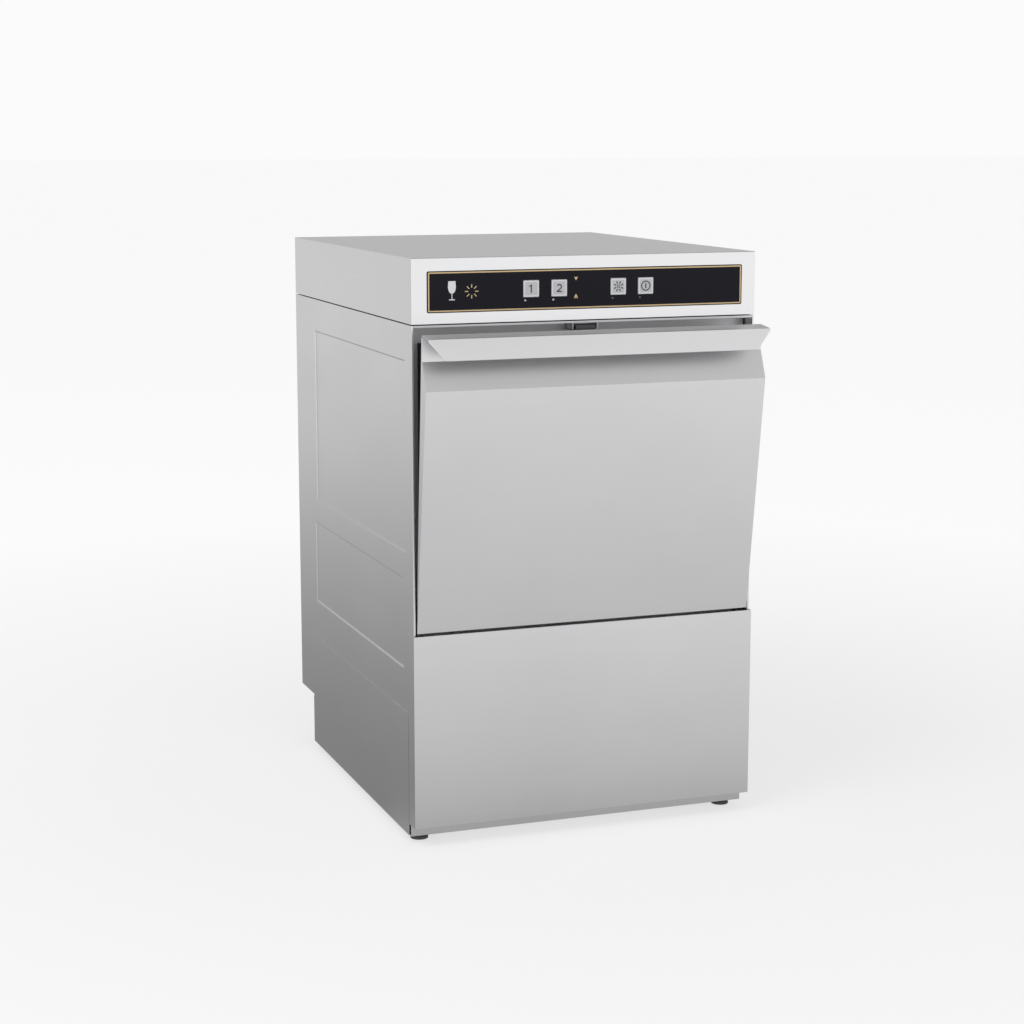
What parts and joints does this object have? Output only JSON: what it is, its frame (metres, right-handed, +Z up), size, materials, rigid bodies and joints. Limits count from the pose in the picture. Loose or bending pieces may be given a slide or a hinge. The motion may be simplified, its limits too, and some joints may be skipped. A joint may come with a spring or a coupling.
{
  "type": "commercial undercounter glasswasher",
  "caption": "Front-loading commercial undercounter glasswasher with a drop-down door, full-width pull lip, push-key control strip, turning spray arms and a closed base.",
  "frame": {"origin": "middle of the bounding box's bottom face, on the floor under the machine", "axes": "+X to the machine's right-hand side as seen from the front, +Y from the door towards the back, +Z up"},
  "size_m": [0.4376, 0.585, 0.7],
  "materials": {
    "stainless": "fine satin",
    "frame_steel": "satin",
    "chamber_steel": "satin",
    "hinge_steel": "satin",
    "spring_wire": "bright drawn wire",
    "seal_rubber": "matt",
    "hose_rubber": "matt",
    "foot_plastic": "matt",
    "fascia_film": "semi-gloss",
    "key_plastic": "matt",
    "board_plastic": "matt",
    "grey_plastic": "matt",
    "white_plastic": "matt",
    "pump_casting": "as cast",
    "boiler_steel": "dull",
    "heater_sheath": "dull",
    "stud_brass": "plain"
  },
  "bodies": {
    "cabinet": {"base_tray": "stainless", "side_panel_left": "stainless", "side_panel_right": "stainless", "rear_panel": "stainless", "top_cover": "stainless", "lower_front_panel": "stainless", "frame_head": "frame_steel", "frame_jamb_left": "frame_steel", "frame_jamb_right": "frame_steel", "frame_sill": "frame_steel", "catch_bracket": "frame_steel", "chamber_wall_left": "chamber_steel", "chamber_wall_right": "chamber_steel", "chamber_wall_rear": "chamber_steel", "chamber_roof": "chamber_steel", "wash_tank": "chamber_steel", "rack_rail_left": "chamber_steel", "rack_rail_right": "chamber_steel", "tank_filter": "chamber_steel", "lower_arm_post": "chamber_steel", "upper_arm_post": "chamber_steel", "hinge_bracket_left": "hinge_steel", "hinge_bracket_right": "hinge_steel", "spring_left": "spring_wire", "spring_right": "spring_wire", "door_gasket": "seal_rubber", "suction_pipe": "hose_rubber", "delivery_pipe": "hose_rubber", "front_feet": "foot_plastic", "rear_feet": "foot_plastic", "control_fascia": "fascia_film", "control_box": "board_plastic", "overflow_pipe": "grey_plastic", "drain_pump": "grey_plastic", "pressure_switch": "grey_plastic", "cable_gland": "grey_plastic", "fill_valve": "white_plastic", "dosing_pumps": "white_plastic", "terminal_block": "white_plastic", "wash_pump": "pump_casting", "rinse_boiler": "boiler_steel", "tank_element": "heater_sheath", "earth_stud": "stud_brass"},
    "door": {"door_outer_panel": "stainless", "door_inner_panel": "chamber_steel", "door_handle": "stainless", "hinge_arm_left": "hinge_steel", "hinge_arm_right": "hinge_steel"},
    "tie_rod_left": {"tie_rod_left": "hinge_steel"},
    "tie_rod_right": {"tie_rod_right": "hinge_steel"},
    "lower_wash_arm": {"lower_wash_arm": "chamber_steel"},
    "lower_rinse_arm": {"lower_rinse_arm": "chamber_steel"},
    "upper_wash_arm": {"upper_wash_arm": "chamber_steel"},
    "upper_rinse_arm": {"upper_rinse_arm": "chamber_steel"},
    "key_1": {"key_1": "key_plastic"},
    "key_2": {"key_2": "key_plastic"},
    "key_3": {"key_3": "key_plastic"},
    "key_4": {"key_4": "key_plastic"},
    "catch_tongue": {"catch_tongue": "grey_plastic"}
  },
  "joints": [
    {"name": "door_hinge", "type": "hinge", "parent": "cabinet", "child": "door", "pos_m": [0, -0.22652, 0.272], "axis": [1, 0, 0], "range_deg": [-4.3, 85.7], "stiffness_Nm_per_rad": 3.2, "springref_deg": -11.46},
    {"name": "tie_rod_left_slide", "type": "slide", "parent": "cabinet", "child": "tie_rod_left", "axis": [0, 0, 1], "range_m": [-0.0025, 0.0475], "deforming": ["spring_left"]},
    {"name": "tie_rod_right_slide", "type": "slide", "parent": "cabinet", "child": "tie_rod_right", "axis": [0, 0, 1], "range_m": [-0.0025, 0.0475], "deforming": ["spring_right"]},
    {"name": "lower_wash_arm_spin", "type": "hinge", "parent": "cabinet", "child": "lower_wash_arm", "pos_m": [0, 0.01348, 0.2614], "axis": [0, 0, 1], "continuous": true},
    {"name": "lower_rinse_arm_spin", "type": "hinge", "parent": "cabinet", "child": "lower_rinse_arm", "pos_m": [0, 0.01348, 0.2739], "axis": [0, 0, 1], "continuous": true},
    {"name": "upper_wash_arm_spin", "type": "hinge", "parent": "cabinet", "child": "upper_wash_arm", "pos_m": [0, 0.01348, 0.587], "axis": [0, 0, 1], "continuous": true},
    {"name": "upper_rinse_arm_spin", "type": "hinge", "parent": "cabinet", "child": "upper_rinse_arm", "pos_m": [0, 0.01348, 0.5745], "axis": [0, 0, 1], "continuous": true},
    {"name": "key_1_press", "type": "slide", "parent": "cabinet", "child": "key_1", "axis": [0, 1, 0], "range_m": [0, 0.0008], "stiffness_N_per_m": 600, "springref_m": -0.0008},
    {"name": "key_2_press", "type": "slide", "parent": "cabinet", "child": "key_2", "axis": [0, 1, 0], "range_m": [0, 0.0008], "stiffness_N_per_m": 600, "springref_m": -0.0008},
    {"name": "key_3_press", "type": "slide", "parent": "cabinet", "child": "key_3", "axis": [0, 1, 0], "range_m": [0, 0.0008], "stiffness_N_per_m": 600, "springref_m": -0.0008},
    {"name": "key_4_press", "type": "slide", "parent": "cabinet", "child": "key_4", "axis": [0, 1, 0], "range_m": [0, 0.0008], "stiffness_N_per_m": 600, "springref_m": -0.0008},
    {"name": "catch_tongue_lift", "type": "slide", "parent": "cabinet", "child": "catch_tongue", "axis": [0, 0, 1], "range_m": [0, 0.0025], "stiffness_N_per_m": 500, "springref_m": -0.002}
  ],
  "couplings": [
    {"joint": "tie_rod_left_slide", "follows": "door_hinge", "m_per_rad": 0.0315},
    {"joint": "tie_rod_right_slide", "follows": "door_hinge", "m_per_rad": 0.0315}
  ]
}
